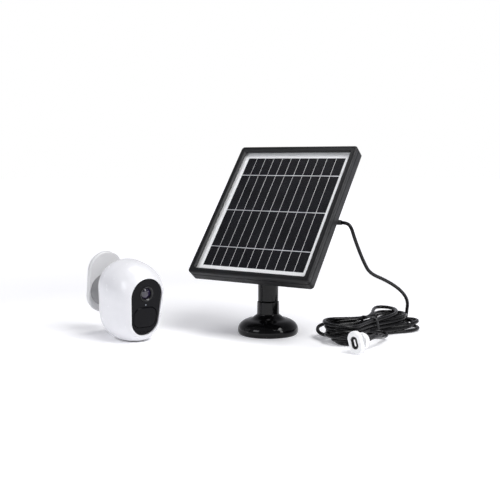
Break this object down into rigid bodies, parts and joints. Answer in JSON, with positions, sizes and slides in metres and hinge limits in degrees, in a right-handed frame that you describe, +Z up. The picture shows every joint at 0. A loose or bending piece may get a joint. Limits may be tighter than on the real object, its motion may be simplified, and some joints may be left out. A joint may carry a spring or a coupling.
{
  "type": "solar-powered security camera",
  "caption": "Egg-shaped battery camera on a magnetic wall mount, beside the tilting solar panel on a round-footed post that charges it through a coiled cord.",
  "frame": {"origin": "on the ground at the centre of the panel stand's round foot", "axes": "+Z up along the post, -Y towards the side that the panel and the camera face, +X towards the coiled cord"},
  "size_m": [0.3918, 0.2249, 0.2149],
  "materials": {
    "frame_black": "satin moulded black",
    "stand_black": "gloss moulded black",
    "glass": "clear tempered",
    "cells": "black silicon",
    "ribbon": "tinned copper ribbon",
    "backsheet": "white film",
    "rubber": "black rubber",
    "grey_rubber": "dark grey rubber",
    "steel": "zinc plated",
    "board": "green circuit board",
    "cord": "black jacket",
    "plug_white": "white moulding",
    "plug_black": "black insert",
    "contact": "plated contact shell",
    "shell_white": "gloss white",
    "face_black": "piano black",
    "lens_black": "black anodised look",
    "lens_glass": "coated optics",
    "light_pipe": "light pipe",
    "inner_plastic": "moulded inner frame",
    "cell_wrap": "shrink wrap",
    "button_rubber": "light grey rubber",
    "dome_grey": "grey coated",
    "dome_rubber": "grey silicone",
    "plate_white": "off-white moulding",
    "foam": "grey foam tape"
  },
  "bodies": {
    "stand": {"post": "stand_black", "washers": "steel", "hinge_nut": "steel", "swivel_screw": "steel", "cord_lead": "cord", "cord_hank": "cord", "cord_tail": "cord", "hank_tie": "cord", "plug_shell": "plug_white", "plug_insert": "plug_black", "plug_contact": "contact", "plug_relief": "rubber"},
    "foot": {"foot": "stand_black", "foot_pad": "rubber"},
    "panel": {"panel_frame": "frame_black", "backsheet": "backsheet", "solar_cells": "cells", "busbar_ribbons": "ribbon", "panel_glass": "glass", "panel_seal": "rubber", "back_cover": "frame_black", "back_cover_screws": "steel", "junction_box": "frame_black", "junction_lid": "frame_black", "junction_lid_screws": "steel", "junction_board": "board", "cord_gland": "rubber", "panel_bracket": "frame_black", "bracket_screws": "steel"},
    "tilt_knob": {"hinge_bolt": "steel", "tilt_knob": "stand_black"},
    "camera": {"front_shell": "shell_white", "rear_shell": "shell_white", "base_pad": "grey_rubber", "face_window": "face_black", "lens_ring": "lens_black", "lens_elements": "lens_glass", "lens_barrel": "lens_black", "sensor_board": "board", "pir_window": "face_black", "pir_sensor": "board", "infrared_board": "board", "status_light": "light_pipe", "chassis": "inner_plastic", "main_board": "board", "board_screws": "steel", "battery_cells": "cell_wrap", "speaker": "inner_plastic", "antenna": "steel", "usb_port": "contact", "button_switch": "inner_plastic", "catch_plate": "steel"},
    "port_cover": {"port_cover": "grey_rubber"},
    "power_button": {"power_button": "button_rubber"},
    "dome_skin": {"dome_skin": "dome_rubber"},
    "mount_dome": {"mount_dome": "dome_grey", "dome_magnet": "steel", "dome_screw": "steel"},
    "wall_mount": {"wall_plate": "plate_white", "plate_pad": "foam"}
  },
  "joints": [
    {"name": "panel_tilt", "type": "hinge", "parent": "stand", "child": "panel", "pos_m": [0, 0, 0.0789], "axis": [0.8377, -0.5461, 0], "range_deg": [-46, 38]},
    {"name": "foot_swivel", "type": "hinge", "parent": "stand", "child": "foot", "pos_m": [0, 0, 0.03], "axis": [0, 0, 1], "continuous": true},
    {"name": "tilt_knob_turn", "type": "hinge", "parent": "stand", "child": "tilt_knob", "pos_m": [0, 0, 0.0789], "axis": [0.8377, -0.5461, 0], "continuous": true},
    {"name": "camera_shift", "type": "slide", "parent": "stand", "child": "camera", "axis": [-1, 0, 0], "range_m": [0, 0.15]},
    {"name": "port_cover_hinge", "type": "hinge", "parent": "camera", "child": "port_cover", "pos_m": [-0.17849, -0.00004, 0.01275], "axis": [0.7793, 0.6266, 0], "range_deg": [0, 110]},
    {"name": "power_button_press", "type": "slide", "parent": "camera", "child": "power_button", "axis": [0.3591, -0.4467, -0.8195], "range_m": [0, 0.0008], "stiffness_N_per_m": 900},
    {"name": "mount_pan", "type": "hinge", "parent": "camera", "child": "dome_skin", "pos_m": [-0.18963, 0.01381, 0.04903], "axis": [0.0872, -0.1085, 0.9903], "range_deg": [-25, 25]},
    {"name": "mount_tilt", "type": "hinge", "parent": "dome_skin", "child": "mount_dome", "pos_m": [-0.18963, 0.01381, 0.04903], "axis": [0.7793, 0.6266, 0], "range_deg": [-25, 25]},
    {"name": "plate_turn", "type": "hinge", "parent": "mount_dome", "child": "wall_mount", "pos_m": [-0.18963, 0.01381, 0.04903], "axis": [0.6205, -0.7718, -0.1392], "continuous": true}
  ]
}
